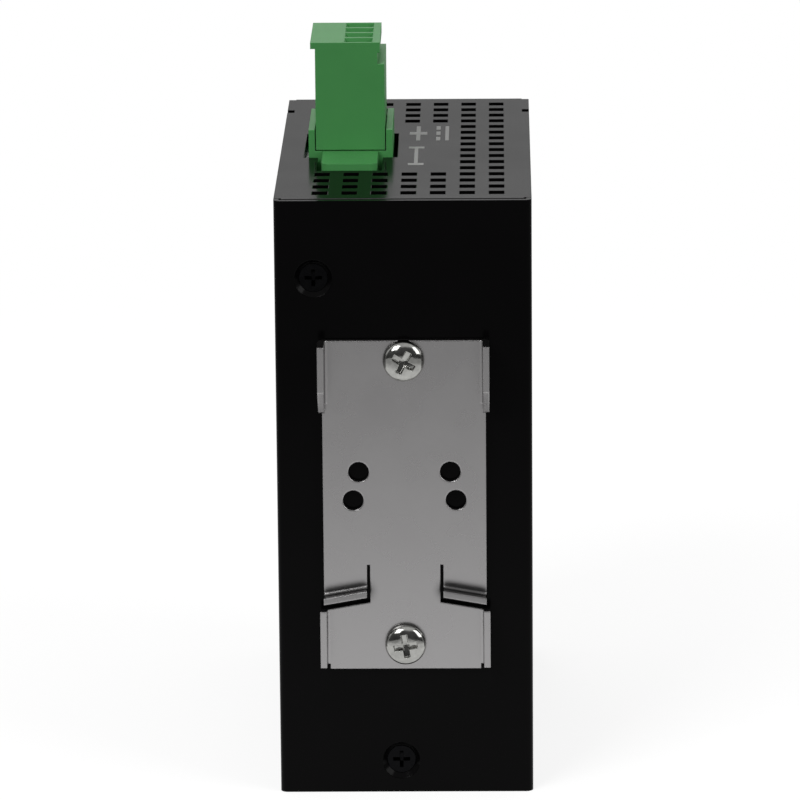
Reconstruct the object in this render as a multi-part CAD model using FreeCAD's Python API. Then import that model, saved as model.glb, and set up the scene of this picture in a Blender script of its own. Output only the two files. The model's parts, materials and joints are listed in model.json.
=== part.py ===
"""Industrial five-port Ethernet switch in a folded steel case for a 35 mm top-hat rail.

Frame: +Z up, -Y is the front with the ports, +Y is the rear with the rail clip.
The origin is at the middle of the base, under the middle of the whole depth.
All sizes are in millimetres.
"""
import FreeCAD, Part
import math
import os

V = FreeCAD.Vector

# ---- Driving dimensions of the case ----
CASE_WIDTH = 48.0
CASE_DEPTH = 96.0
CASE_HEIGHT = 115.0
SHEET = 1.0
BEND = 0.4
SEAM = 0.2
CORNER_RELIEF = 2.0
BEND_RELIEF = 2.5
FRONT_RETURN = 12.0
TOP_TAB = 20.0
BOTTOM_TAB = 12.5
TONGUE_LENGTH = 8.0
TONGUE_HEIGHT = 20.0
TONGUE_SPREAD = 59.0

# ---- Vent field: square holes on a square grid ----
VENT_SIZE = 2.9
VENT_PITCH = 5.5
VENT_COLUMNS = 7
VENT_CENTRE_X = -1.0
VENT_MARGIN = 5.0
VENT_WEB = 1.2
OPEN_COLUMNS = 2

# ---- Rail clip ----
CLIP_SHEET = 1.2
CLIP_WIDTH = 30.6
CLIP_HEIGHT = 63.75
CLIP_TOP_DROP = 26.45
CLIP_BEND = 0.6
EAR_SPAN = 32.0
EAR_REACH = 5.4
EAR_DROP = 8.7
NOSE_DROP = 13.6
RAIL_SLOT = 1.3
RAIL_SLOT_DROP = 12.0
LOWER_EAR_REACH = 3.0
LOWER_EAR_HEIGHT = 11.0
LOWER_EAR_LIFT = 1.0
RAIL_HEIGHT = 35.0
RAIL_PLAY = 1.0
LIP_REACH = 3.2
LIP_BEND = 0.8
LIP_TILT = 10.0
LIP_RISE = 6.0
SLIT_X = 6.9
SLIT_WIDTH = 0.6
SLIT_LENGTH = 4.6
WINDOW_HEIGHT = 3.0
PILOT_RADIUS = 1.95
PILOT_PAIRS = ((8.6, 25.3), (9.65, 30.8))

# ---- Fasteners ----
CLIP_SCREW_RADIUS = 2.0
CLIP_SCREW_LENGTH = 7.0
CLIP_HEAD_RADIUS = 3.9
CLIP_HEAD_HEIGHT = 2.5
CLIP_SCREW_DROPS = (3.75, 58.8)
NUT_ACROSS = 7.0
NUT_HEIGHT = 3.2
COVER_SCREW_RADIUS = 1.5
COVER_HEAD_RADIUS = 2.7
COVER_SCREW_LENGTH = 5.0
DISH_RADIUS = 3.6
UPPER_SCREW_INSET = 7.3
UPPER_SCREW_DROP = 14.8
LOWER_SCREW_X = 1.0
LOWER_SCREW_LIFT = 6.25
BOARD_SCREW_RADIUS = 1.25
BOARD_HEAD_RADIUS = 2.4
BOARD_HEAD_HEIGHT = 1.7
STANDOFF_ACROSS = 5.0
SPIGOT_WALL = 0.75
FIT = 0.05
HOLE_PLAY = 0.2
# Head and driver shapes, as shares of a head's radius and height
PAN_SHARES = ((1.0, 0.0), (1.0, 0.35), (0.86, 0.78), (0.55, 1.0))
POINT_SHARE = 0.75
PAN_RECESS_SHARES = (0.55, 0.72)
FLAT_RECESS_SHARES = (0.6, 0.5)
FLOOR_SHARE = 0.5
BLADE_SHARE = 0.42

# ---- Board and its ports ----
BOARD_THICKNESS = 1.6
STANDOFF_HEIGHT = 1.7
BOARD_EDGE = 2.4
BOARD_FRONT_GAP = 3.0
BOARD_REAR_GAP = 8.0
MOUNT_DROP = 6.5
MOUNT_FRONT = 8.6
MOUNT_REAR = 12.5
EARS_LENGTH = 15.0
EARS_HEIGHT = 8.5
PORTS = 5
PORT_MARGIN = 10.6
PORT_WIDTH = 16.0
PORT_HEIGHT = 13.3
PORT_LENGTH = 21.0
PORT_PROUD = 0.3
PORT_PLAY = 0.2
SHIELD = 0.3
MOUTH_WIDTH = 11.8
MOUTH_HEIGHT = 6.8
MOUTH_DEPTH = 13.0
MOUTH_FLOOR = 1.9
LATCH_WIDTH = 6.2
LATCH_STEP = 1.5
CONTACTS = 8
CONTACT_PITCH = 1.02
CONTACT_WIDTH = 0.5
CONTACT_SHEET = 0.35
CONTACT_FRONT = 0.3
CONTACT_TIP = 0.8
CONTACT_RISE = 2.0
PORT_LAMP_WIDTH = 3.0
PORT_LAMP_HEIGHT = 1.8
PORT_LAMP_DEPTH = 4.0

# ---- Status lamps over the ports ----
LAMPS = 3
LAMP_RADIUS = 1.5
LAMP_PITCH = 4.0
LAMP_DROP = 7.0
LAMP_BEVEL = 0.75
HOLDER_DEPTH = 4.0
HOLDER_MARGIN = 1.2

# ---- Power header and its plug ----
POLES = 4
POLE_PITCH = 5.08
PLUG_INSET = 1.4
PLUG_DEPTH = 13.25
PLUG_END_WALL = 0.15
PLUG_REAR_DEPTH = 39.5
PLUG_TOP = 22.2
PLUG_PLAY = 0.2
HEAD_OVERHANG = 0.9
HEAD_THICKNESS = 1.2
FRONT_STEP = 0.85
GROOVE_DEPTH = 0.5
GROOVE_TOP = 2.0
GROOVE_BOTTOM = 4.2
HEADER_WALL = 1.25
HEADER_RIM = 5.2
HEADER_FLOOR = 1.1
HEADER_DEPTH = 11.2
FLANGE_WIDTH = 10.6
FLANGE_LENGTH = 9.0
REAR_FLANGE_LENGTH = 12.0
FLANGE_CORNER = 1.5
CUTOUT_PLAY = 0.9
PIN_SIZE = 1.0
PIN_RISE = 6.3
PIN_TAIL_DROP = 2.4
CAGE_INSET = 2.35
CAGE_DEPTH = 5.8
CAGE_WIDTH = 4.2
CAGE_HEIGHT = 5.6
CAGE_FLOOR = 0.7
CAGE_ROOF = 1.6
CAGE_CENTRE = 14.4
CAGE_SIDE = 0.55
CAVITY_PLAY = 0.15
WIRE_WIDTH = 4.6
WIRE_INSET = 0.3
WIRE_LENGTH = 3.7
FUNNEL = 0.4
TERMINAL_SCREW_RADIUS = 1.5
TERMINAL_HEAD_RADIUS = 1.9
TERMINAL_HEAD_HEIGHT = 1.8
TERMINAL_HEAD_DEPTH = 1.6
CONTACT_PLATE = 0.6
LEAF = 0.4
LEAF_PLAY = 0.15
DRIVER_SLOT = 0.9

# ---- Components on the board ----
CHIP_SIZE = 20.0
CHIP_HEIGHT = 1.4
SINK_SIZE = 26.0
SINK_BASE = 2.0
SINK_HEIGHT = 9.0
SINK_FINS = 7
SINK_FIN = 1.2
SINK_GAP = 3.0
SINK_LIFT = 7.5
MAGNETICS_DEPTH = 9.6
MAGNETICS_WIDTH = 11.6
MAGNETICS_HEIGHT = 5.8
MAGNETICS_GAP = 2.0
CAN_RADIUS = 5.0
CAN_HEIGHT = 16.0
CAN_PITCH = 12.0
CANS = 3
CAN_GROOVE = 0.5
CAN_GROOVE_RISE = 1.2
COIL_SIZE = 12.0
COIL_HEIGHT = 8.0
COIL_CORNER = 1.8
TRANSFORMER_SIZE = 20.0
TRANSFORMER_HEIGHT = 14.0
CORE_LEG = 2.8
CORE_BAY = 4.4
CORE_YOKE = 4.0
SUPPLY_GAP = 2.0

# ---- Places worked out from the driving dimensions ----
FRONT_Y = PORT_PROUD - (CASE_DEPTH + CLIP_SHEET + EAR_REACH + PORT_PROUD) / 2
REAR_Y = FRONT_Y + CASE_DEPTH
REAR_INSIDE = REAR_Y - SHEET
TOP = CASE_HEIGHT
HALF = CASE_WIDTH / 2
INNER_HALF = HALF - SHEET - SEAM
FLAT_HALF = INNER_HALF - SEAM
COVER_EDGE = FRONT_Y + FRONT_RETURN + SEAM
PANEL_REAR = REAR_INSIDE - SHEET - BEND
COVER_SCREWS = ((HALF - UPPER_SCREW_INSET, TOP - UPPER_SCREW_DROP), (LOWER_SCREW_X, LOWER_SCREW_LIFT))
CLIP_TOP = TOP - CLIP_TOP_DROP
CLIP_BOTTOM = CLIP_TOP - CLIP_HEIGHT
CLIP_FACE = REAR_Y + CLIP_SHEET
BOARD_BACK = INNER_HALF - SHEET - STANDOFF_HEIGHT
BOARD_FACE = BOARD_BACK - BOARD_THICKNESS
MOUNT_SEATS = ((FRONT_Y + MOUNT_FRONT, HALF - SHEET), (REAR_Y - MOUNT_REAR, INNER_HALF - SHEET))
MOUNT_POINTS = [(seat, y, z) for y, seat in MOUNT_SEATS for z in (MOUNT_DROP, TOP - MOUNT_DROP)]
PORT_PITCH = (TOP - 2 * PORT_MARGIN - PORT_WIDTH) / (PORTS - 1)
PORT_CENTRES = [PORT_MARGIN + PORT_WIDTH / 2 + i * PORT_PITCH for i in range(PORTS)]
PORT_Y0 = FRONT_Y - PORT_PROUD
PORT_Y1 = PORT_Y0 + PORT_LENGTH
PORT_X0 = BOARD_FACE - PORT_HEIGHT
MOUTH_X1 = BOARD_FACE - MOUTH_FLOOR
MOUTH_X0 = MOUTH_X1 - MOUTH_HEIGHT
PLUG_X1 = BOARD_FACE - PLUG_INSET
PLUG_X0 = PLUG_X1 - PLUG_DEPTH
PLUG_LENGTH = POLES * POLE_PITCH + 2 * PLUG_END_WALL
PLUG_Y1 = REAR_Y - PLUG_REAR_DEPTH
PLUG_Y0 = PLUG_Y1 - PLUG_LENGTH
PLUG_MIDDLE = (PLUG_X0 + PLUG_X1) / 2
PLUG_BOTTOM = TOP + HEADER_FLOOR + PLUG_PLAY
HEADER_X0 = PLUG_X0 - PLUG_PLAY - HEADER_WALL
HEADER_X1 = BOARD_FACE
HEADER_BASE = TOP + HEADER_FLOOR - HEADER_DEPTH
HEADER_CUT_Y0 = PLUG_Y0 - FLANGE_LENGTH - CUTOUT_PLAY
HEADER_CUT_Y1 = PLUG_Y1 + REAR_FLANGE_LENGTH + CUTOUT_PLAY
POLE_YS = [(PLUG_Y0 + PLUG_Y1) / 2 + (i - (POLES - 1) / 2) * POLE_PITCH for i in range(POLES)]
CAGE_X0 = PLUG_X0 + CAGE_INSET
CAGE_X1 = CAGE_X0 + CAGE_DEPTH
CAGE_Z = TOP + CAGE_CENTRE
WIRE_X0 = CAGE_X0 + WIRE_INSET
LAMP_XS = [BOARD_FACE - PORT_HEIGHT / 2 + (i - (LAMPS - 1) / 2) * LAMP_PITCH for i in range(LAMPS)]
LAMP_Z = TOP - LAMP_DROP


# ---- Basic shapes ----
def block(x0, x1, y0, y1, z0, z1):
    """Box between two corners."""
    return Part.makeBox(x1 - x0, y1 - y0, z1 - z0, V(x0, y0, z0))


def prism(points, sweep):
    """Closed outline swept straight along a vector."""
    return Part.Face(Part.makePolygon(points + points[:1])).extrude(sweep)


def turned(profile, centre, axis):
    """Solid turned from (radius, height) points, standing on `centre` along `axis`."""
    face = Part.Face(Part.makePolygon([V(r, 0, h) for r, h in profile + profile[:1]]))
    solid = face.revolve(V(0, 0, 0), V(0, 0, 1), 360)
    solid.Placement = FreeCAD.Placement(centre, FreeCAD.Rotation(V(0, 0, 1), axis))
    return solid


def hexagon(centre, across, u, v):
    """Corners of a hexagon in the plane of two unit vectors."""
    corner = across / math.sqrt(3)
    turns = [math.radians(60 * i) for i in range(6)]
    return [centre + u * (corner * math.cos(turn)) + v * (corner * math.sin(turn)) for turn in turns]


def group(solids):
    """Several separate solids kept in one node."""
    return Part.makeCompound(solids)


def mirrored(shape):
    """The same shape on the other side of the middle plane."""
    return shape.mirror(V(0, 0, 0), V(1, 0, 0))


# ---- Folded sheet ----
def offset_path(points, normal, distance):
    """Open path shifted sideways, with its corners kept sharp."""
    sides = [normal.cross((b - a).normalize()) for a, b in zip(points, points[1:])]
    moved = [points[0] + sides[0] * distance]
    for point, before, after in zip(points[1:-1], sides, sides[1:]):
        moved.append(point + (before + after) * (distance / (1 + before.dot(after))))
    moved.append(points[-1] + sides[-1] * distance)
    return moved


def rounded_path(points, radii):
    """Lines joined by tangent arcs along an open path."""
    edges = []
    start = points[0]
    for before, corner, after, radius in zip(points, points[1:], points[2:], radii):
        back = (before - corner).normalize()
        ahead = (after - corner).normalize()
        half = back.getAngle(ahead) / 2
        reach = radius / math.tan(half)
        middle = corner + (back + ahead).normalize() * (radius / math.sin(half) - radius)
        first = corner + back * reach
        last = corner + ahead * reach
        edges.append(Part.LineSegment(start, first).toShape())
        edges.append(Part.Arc(first, middle, last).toShape())
        start = last
    edges.append(Part.LineSegment(start, points[-1]).toShape())
    return edges


def folded(points, normal, thickness, inner, sweep):
    """Sheet folded along a path; the thickness lies on the side of normal x direction."""
    other = offset_path(points, normal, thickness)
    legs = [(b - a) for a, b in zip(points, points[1:])]
    turns = [before.cross(after).dot(normal) > 0 for before, after in zip(legs, legs[1:])]
    near = rounded_path(points, [inner + thickness if left else inner for left in turns])
    far = rounded_path(other, [inner if left else inner + thickness for left in turns])
    caps = [Part.LineSegment(a, b).toShape()
            for a, b in ((points[0], other[0]), (points[-1], other[-1]))]
    wire = Part.Wire(Part.__sortEdges__(near + far + caps))
    return Part.Face(wire).extrude(sweep)


def dish(x, z, face, radius, hole):
    """Cone pressed into a rear sheet, so that a countersunk head sits below the face."""
    flare = SHEET * (math.sqrt(2) - 1)
    depth = radius - hole
    back = depth + SHEET * math.sqrt(2)
    profile = [(radius, 0), (radius + flare, SHEET), (hole, back), (hole, depth)]
    return turned(profile, V(x, face, z), V(0, -1, 0))


def add_dish(panel, x, z, face, radius, hole):
    """Panel with the dish in place of its flat metal."""
    flare = SHEET * (math.sqrt(2) - 1)
    flat = turned([(0, 0), (radius, 0), (radius + flare, SHEET), (0, SHEET)],
                  V(x, face, z), V(0, -1, 0))
    return panel.cut(flat).fuse(dish(x, z, face, radius, hole))


def cross_recess(centre, axis, reach, depth):
    """Cross-shaped driver recess, narrowing towards its floor."""
    blades = []
    for across, along in ((V(1, 0, 0), V(0, 1, 0)), (V(0, 1, 0), V(1, 0, 0))):
        floor = reach * FLOOR_SHARE
        outline = [across * -reach, across * reach, across * floor + V(0, 0, -depth),
                   across * -floor + V(0, 0, -depth)]
        width = along * reach * BLADE_SHARE
        blades.append(prism([p - width * 0.5 for p in outline], width))
    recess = blades[0].fuse(blades[1])
    recess.Placement = FreeCAD.Placement(centre, FreeCAD.Rotation(V(0, 0, 1), axis))
    return recess


# ---- Case ----
def vent_columns():
    """X places of the vent columns, from the plain side to the plug side."""
    return [VENT_CENTRE_X + (i - (VENT_COLUMNS - 1) / 2) * VENT_PITCH for i in range(VENT_COLUMNS)]


def vent_rows():
    """Y places of the vent rows, from the rear to the front."""
    rows = int((CASE_DEPTH - 2 * VENT_MARGIN - VENT_SIZE) / VENT_PITCH) + 1
    first = (REAR_Y + FRONT_Y) / 2 + (rows - 1) / 2 * VENT_PITCH
    return [first - i * VENT_PITCH for i in range(rows)]


def vents(z0, open_columns):
    """Vent punches: full columns on the plain side, and only rows clear of the header on the others."""
    holes = []
    reach = VENT_SIZE / 2 + VENT_WEB
    for column, x in enumerate(vent_columns()):
        for y in vent_rows():
            beside = HEADER_CUT_Y0 < y + reach and y - reach < HEADER_CUT_Y1
            if column < open_columns or not beside:
                holes.append(Part.makeBox(VENT_SIZE, VENT_SIZE, 3 * SHEET,
                                          V(x - VENT_SIZE / 2, y - VENT_SIZE / 2, z0 - SHEET)))
    return holes


def wide_panel(z0):
    """Full width of the top or bottom: over the front's returns, and over the cover's walls."""
    front = block(-HALF, HALF, FRONT_Y + SHEET + 2 * BEND, FRONT_Y + FRONT_RETURN, z0, z0 + SHEET)
    rear = block(-HALF, HALF, FRONT_Y + FRONT_RETURN + BEND_RELIEF, PANEL_REAR, z0, z0 + SHEET)
    return [front, rear]


def front_face():
    """Front with its returns, whose ends reach the height of the top and bottom."""
    path = [V(-HALF, FRONT_Y + FRONT_RETURN, CORNER_RELIEF), V(-HALF, FRONT_Y, CORNER_RELIEF),
            V(HALF, FRONT_Y, CORNER_RELIEF), V(HALF, FRONT_Y + FRONT_RETURN, CORNER_RELIEF)]
    face = folded(path, V(0, 0, 1), SHEET, BEND, V(0, 0, TOP - 2 * CORNER_RELIEF))
    land = block(HALF - SHEET, HALF, FRONT_Y + SHEET + 2 * BEND, FRONT_Y + FRONT_RETURN, 0, TOP)
    return face.fuse([land, mirrored(land)])


def board_ear(z):
    """Ear folded forward from a rear tab for one standoff, with the tab's corner it replaces."""
    z0 = z - EARS_HEIGHT / 2
    x0 = INNER_HALF - SHEET - BEND
    path = [V(x0 - SHEET, REAR_INSIDE, z0), V(INNER_HALF, REAR_INSIDE, z0),
            V(INNER_HALF, REAR_INSIDE - EARS_LENGTH, z0)]
    ear = folded(path, V(0, 0, -1), SHEET, BEND, V(0, 0, EARS_HEIGHT))
    corner = block(x0, HALF, REAR_INSIDE - 2 * SHEET, REAR_Y, z0 - SEAM, z0 + EARS_HEIGHT + SEAM)
    return ear, corner


def chassis():
    """Front, top and bottom folded from one sheet, with tabs at the rear for the cover."""
    spine = [V(-FLAT_HALF, REAR_INSIDE, BOTTOM_TAB), V(-FLAT_HALF, REAR_INSIDE, 0),
             V(-FLAT_HALF, FRONT_Y, 0), V(-FLAT_HALF, FRONT_Y, TOP),
             V(-FLAT_HALF, REAR_INSIDE, TOP), V(-FLAT_HALF, REAR_INSIDE, TOP - TOP_TAB)]
    body = folded(spine, V(-1, 0, 0), SHEET, BEND, V(2 * FLAT_HALF, 0, 0))
    ears, corners = zip(*[board_ear(z) for z in (MOUNT_DROP, TOP - MOUNT_DROP)])
    panels = wide_panel(TOP - SHEET) + wide_panel(0)
    body = body.cut(list(corners)).fuse([front_face()] + panels + list(ears)).removeSplitter()
    dish_radius = DISH_RADIUS + SHEET * (math.sqrt(2) - 1)
    for x, z in COVER_SCREWS:
        body = add_dish(body, x, z, REAR_INSIDE, dish_radius, COVER_SCREW_RADIUS + FIT)
    return body.cut(vents(TOP - SHEET, OPEN_COLUMNS) + vents(0, 0) + panel_cuts()).removeSplitter()


def panel_cuts():
    """Openings for the header, the ports, the lamps and the board's standoffs."""
    half = FLANGE_WIDTH / 2 + CUTOUT_PLAY
    cuts = [block(HEADER_X0 - CUTOUT_PLAY, HEADER_X1 + CUTOUT_PLAY, PLUG_Y0 - CUTOUT_PLAY,
                  PLUG_Y1 + CUTOUT_PLAY, TOP - 2 * SHEET, TOP + SHEET),
            block(PLUG_MIDDLE - half, PLUG_MIDDLE + half, HEADER_CUT_Y0, HEADER_CUT_Y1,
                  TOP - 2 * SHEET, TOP + SHEET)]
    for z in PORT_CENTRES:
        cuts.append(block(PORT_X0 - PORT_PLAY, BOARD_FACE + PORT_PLAY, FRONT_Y - SHEET, FRONT_Y + 2 * SHEET,
                          z - PORT_WIDTH / 2 - PORT_PLAY, z + PORT_WIDTH / 2 + PORT_PLAY))
    for x in LAMP_XS:
        cuts.append(Part.makeCylinder(LAMP_RADIUS + HOLE_PLAY, 3 * SHEET,
                                      V(x, FRONT_Y - SHEET, LAMP_Z), V(0, 1, 0)))
    radius = standoff_spigot() + FIT
    for seat, y, z in MOUNT_POINTS:
        cuts.append(Part.makeCylinder(radius, 3 * SHEET, V(seat - SHEET, y, z), V(1, 0, 0)))
    return cuts


def wall_cuts():
    """Strips taken off the walls under the top and bottom, deeper at their front corners."""
    y0 = COVER_EDGE - SHEET
    low = block(-HALF - SHEET, HALF + SHEET, y0, PANEL_REAR + SEAM, -SHEET, SHEET + SEAM)
    corner = block(-HALF - SHEET, HALF + SHEET, y0, COVER_EDGE + BEND_RELIEF, -SHEET, SHEET + CORNER_RELIEF)
    cuts = [low, corner]
    for cut in (low, corner):
        cuts.append(cut.translated(V(0, 0, TOP - cut.BoundBox.ZMin - cut.BoundBox.ZMax)))
    return cuts


def cover():
    """Both sides and the rear folded from one sheet, with tongues behind the front's edges."""
    wrap = [V(-HALF, COVER_EDGE, 0), V(-HALF, REAR_Y, 0), V(HALF, REAR_Y, 0), V(HALF, COVER_EDGE, 0)]
    body = folded(wrap, V(0, 0, -1), SHEET, BEND, V(0, 0, TOP))
    step = SHEET + SEAM
    tongues = []
    gaps = []
    for z in (TOP / 2 - TONGUE_SPREAD / 2, TOP / 2 + TONGUE_SPREAD / 2):
        z0 = z - TONGUE_HEIGHT / 2
        path = [V(HALF, COVER_EDGE + 4 * step, z0), V(HALF, COVER_EDGE + 2 * step, z0),
                V(HALF - step, COVER_EDGE + step / 2, z0), V(HALF - step, COVER_EDGE - TONGUE_LENGTH, z0)]
        tongue = folded(path, V(0, 0, -1), SHEET, BEND, V(0, 0, TONGUE_HEIGHT))
        gap = block(HALF - 2 * SHEET, HALF + SHEET, COVER_EDGE - SHEET, COVER_EDGE + 3 * step,
                    z0 - SEAM, z0 + TONGUE_HEIGHT + SEAM)
        tongues += [tongue, mirrored(tongue)]
        gaps += [gap, mirrored(gap)]
    body = body.cut(gaps + wall_cuts()).fuse(tongues).removeSplitter()
    for x, z in COVER_SCREWS:
        body = add_dish(body, x, z, REAR_Y, DISH_RADIUS, COVER_SCREW_RADIUS + HOLE_PLAY)
    radius = CLIP_SCREW_RADIUS + HOLE_PLAY
    holes = [Part.makeCylinder(radius, 3 * SHEET, V(0, REAR_INSIDE - SHEET, z), V(0, 1, 0))
             for z in clip_screw_heights()]
    return body.cut(holes)


# ---- Rail clip ----
def clip_screw_heights():
    """Heights of the two screws that hold the clip."""
    return [CLIP_TOP - drop for drop in CLIP_SCREW_DROPS]


def clip_ears(z0, z1, reach):
    """Plate width between two edges folded outwards, from z0 to z1."""
    half = EAR_SPAN / 2
    path = [V(-half, CLIP_FACE + reach, z0), V(-half, REAR_Y, z0),
            V(half, REAR_Y, z0), V(half, CLIP_FACE + reach, z0)]
    return folded(path, V(0, 0, 1), CLIP_SHEET, CLIP_BEND, V(0, 0, z1 - z0))


def hook_ears():
    """Upper ears, each with a nose that holds the rail's upper edge against the plate."""
    ears = clip_ears(CLIP_TOP - NOSE_DROP, CLIP_TOP, EAR_REACH)
    tip = CLIP_FACE + EAR_REACH
    slot = CLIP_FACE + RAIL_SLOT
    low = CLIP_TOP - NOSE_DROP
    below = low - CLIP_SHEET
    outside = tip + CLIP_SHEET
    slope = (NOSE_DROP - EAR_DROP) / (EAR_REACH - RAIL_SLOT)
    waste = [V(-CASE_WIDTH, slot, low), V(-CASE_WIDTH, outside, CLIP_TOP - EAR_DROP + CLIP_SHEET * slope),
             V(-CASE_WIDTH, outside, below), V(-CASE_WIDTH, slot, below)]
    under_nose = prism(waste, V(2 * CASE_WIDTH, 0, 0))
    rail = block(-CASE_WIDTH, CASE_WIDTH, REAR_Y - CLIP_SHEET, slot, below, CLIP_TOP - RAIL_SLOT_DROP)
    return ears.cut([under_nose, rail])


def lip_root():
    """Height of the spring lip's upper side at the inner end of its bend."""
    return CLIP_TOP - RAIL_SLOT_DROP - RAIL_HEIGHT - RAIL_PLAY


def spring_lip():
    """Lower end of a spring tongue, folded outwards along a sloping line."""
    root = lip_root()
    rise = LIP_REACH * math.tan(math.radians(LIP_RISE))
    base = root - CLIP_SHEET
    start = SLIT_X - CLIP_WIDTH
    path = [V(start, CLIP_FACE + LIP_REACH, base + rise), V(start, REAR_Y, base),
            V(start, REAR_Y, root + LIP_BEND + CLIP_SHEET)]
    lip = folded(path, V(-1, 0, 0), CLIP_SHEET, LIP_BEND, V(3 * CLIP_WIDTH, 0, 0))
    lip.rotate(V(SLIT_X, 0, root), V(0, 1, 0), LIP_TILT)
    keep = block(SLIT_X + SLIT_WIDTH / 2, CLIP_WIDTH / 2, REAR_Y - CLIP_SHEET,
                 CLIP_FACE + 2 * LIP_REACH, base - 2 * LIP_REACH, root + 2 * LIP_REACH)
    return lip.common(keep)


def tongue_cuts():
    """Slit beside a spring tongue and the window that its lip was folded out of."""
    root = lip_root()
    inner = SLIT_X - SLIT_WIDTH / 2
    outer = CLIP_WIDTH / 2 + CLIP_SHEET
    fall = (outer - inner) * math.tan(math.radians(LIP_TILT))
    upper = root + LIP_BEND
    lower = root - CLIP_SHEET - WINDOW_HEIGHT / 2
    y = REAR_Y - CLIP_SHEET
    corners = [V(inner, y, upper), V(inner, y, lower), V(outer, y, lower - fall), V(outer, y, upper - fall)]
    window = prism(corners, V(0, 3 * CLIP_SHEET, 0))
    slit = block(inner, inner + SLIT_WIDTH, y, CLIP_FACE + CLIP_SHEET, lower, root + SLIT_LENGTH)
    return [window, slit]


def din_clip():
    """Rail clip lanced and folded from one plate: hooks above, spring lips below."""
    half = CLIP_WIDTH / 2
    neck = EAR_SPAN / 2 - CLIP_SHEET - CLIP_BEND
    hook_end = CLIP_TOP - RAIL_SLOT_DROP
    lower_top = CLIP_BOTTOM + LOWER_EAR_LIFT + LOWER_EAR_HEIGHT
    plate = block(-half, half, REAR_Y, CLIP_FACE, lower_top, hook_end)
    plate = plate.fuse([block(-neck, neck, REAR_Y, CLIP_FACE, CLIP_BOTTOM, CLIP_TOP), hook_ears(),
                        clip_ears(CLIP_BOTTOM + LOWER_EAR_LIFT, lower_top, LOWER_EAR_REACH)])
    cuts = tongue_cuts()
    plate = plate.cut(cuts + [mirrored(cut) for cut in cuts])
    lip = spring_lip()
    plate = plate.fuse([lip, mirrored(lip)]).removeSplitter()
    holes = [(x, CLIP_TOP - drop, PILOT_RADIUS) for side, drop in PILOT_PAIRS for x in (-side, side)]
    holes += [(0, z, CLIP_SCREW_RADIUS + HOLE_PLAY) for z in clip_screw_heights()]
    return plate.cut([Part.makeCylinder(radius, 3 * CLIP_SHEET, V(x, REAR_Y - CLIP_SHEET, z), V(0, 1, 0))
                      for x, z, radius in holes])


# ---- Fasteners ----
def pan_screw(seat, axis, radius, length, head_radius, head_height):
    """Pan-head screw: `seat` is under its head, and `axis` points out of the head."""
    point = radius * POINT_SHARE
    profile = [(0, -length), (point, -length), (radius, point - length), (radius, 0)]
    profile += [(head_radius * r, head_height * h) for r, h in PAN_SHARES]
    body = turned(profile + [(0, head_height)], seat, axis)
    reach, depth = PAN_RECESS_SHARES
    return body.cut(cross_recess(seat + axis * head_height, axis, head_radius * reach, head_height * depth))


def clip_screws():
    """Two pan-head screws through the clip into the nuts behind the rear panel."""
    return group([pan_screw(V(0, CLIP_FACE, z), V(0, 1, 0), CLIP_SCREW_RADIUS, CLIP_SCREW_LENGTH,
                            CLIP_HEAD_RADIUS, CLIP_HEAD_HEIGHT) for z in clip_screw_heights()])


def clip_nuts():
    """Two hexagon nuts pressed against the inside of the rear panel."""
    nuts = []
    for z in clip_screw_heights():
        ring = hexagon(V(0, REAR_INSIDE - NUT_HEIGHT, z), NUT_ACROSS, V(1, 0, 0), V(0, 0, 1))
        bore = Part.makeCylinder(CLIP_SCREW_RADIUS + FIT, NUT_HEIGHT + 2 * FIT,
                                 V(0, REAR_INSIDE - NUT_HEIGHT - FIT, z), V(0, 1, 0))
        nuts.append(prism(ring, V(0, NUT_HEIGHT, 0)).cut(bore))
    return group(nuts)


def cover_screws():
    """Two countersunk screws, sunk in the dishes of the rear panel."""
    screws = []
    for x, z in COVER_SCREWS:
        top = DISH_RADIUS - COVER_HEAD_RADIUS - FIT * math.sqrt(2)
        neck = top + COVER_HEAD_RADIUS - COVER_SCREW_RADIUS
        end = top + COVER_SCREW_LENGTH
        profile = [(0, top), (COVER_HEAD_RADIUS, top), (COVER_SCREW_RADIUS, neck),
                   (COVER_SCREW_RADIUS, end), (0, end)]
        screw = turned(profile, V(x, REAR_Y, z), V(0, -1, 0))
        reach, depth = FLAT_RECESS_SHARES
        recess = cross_recess(V(x, REAR_Y - top, z), V(0, 1, 0),
                              COVER_HEAD_RADIUS * reach, COVER_HEAD_RADIUS * depth)
        screws.append(screw.cut(recess))
    return group(screws)


def standoff_spigot():
    """Radius of the standoff's end that is pressed into the chassis."""
    return BOARD_SCREW_RADIUS + SPIGOT_WALL


def board_standoffs():
    """Four hexagon standoffs pressed into the front's return and the rear ears."""
    standoffs = []
    for seat, y, z in MOUNT_POINTS:
        gap = seat - BOARD_BACK
        foot = V(BOARD_BACK, y, z)
        body = prism(hexagon(foot, STANDOFF_ACROSS, V(0, 1, 0), V(0, 0, 1)), V(gap, 0, 0))
        spigot = Part.makeCylinder(standoff_spigot(), gap + SHEET, foot, V(1, 0, 0))
        bore = Part.makeCylinder(BOARD_SCREW_RADIUS + FIT, gap + 2 * SHEET, foot, V(1, 0, 0))
        standoffs.append(body.fuse(spigot).cut(bore))
    return group(standoffs)


def board_screws():
    """Four cheese-head screws through the board into the standoffs."""
    length = INNER_HALF - BOARD_FACE
    profile = [(0, -length), (BOARD_SCREW_RADIUS, -length), (BOARD_SCREW_RADIUS, 0), (BOARD_HEAD_RADIUS, 0),
               (BOARD_HEAD_RADIUS, BOARD_HEAD_HEIGHT), (0, BOARD_HEAD_HEIGHT)]
    return group([turned(profile, V(BOARD_FACE, y, z), V(-1, 0, 0)) for _, y, z in MOUNT_POINTS])


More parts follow.
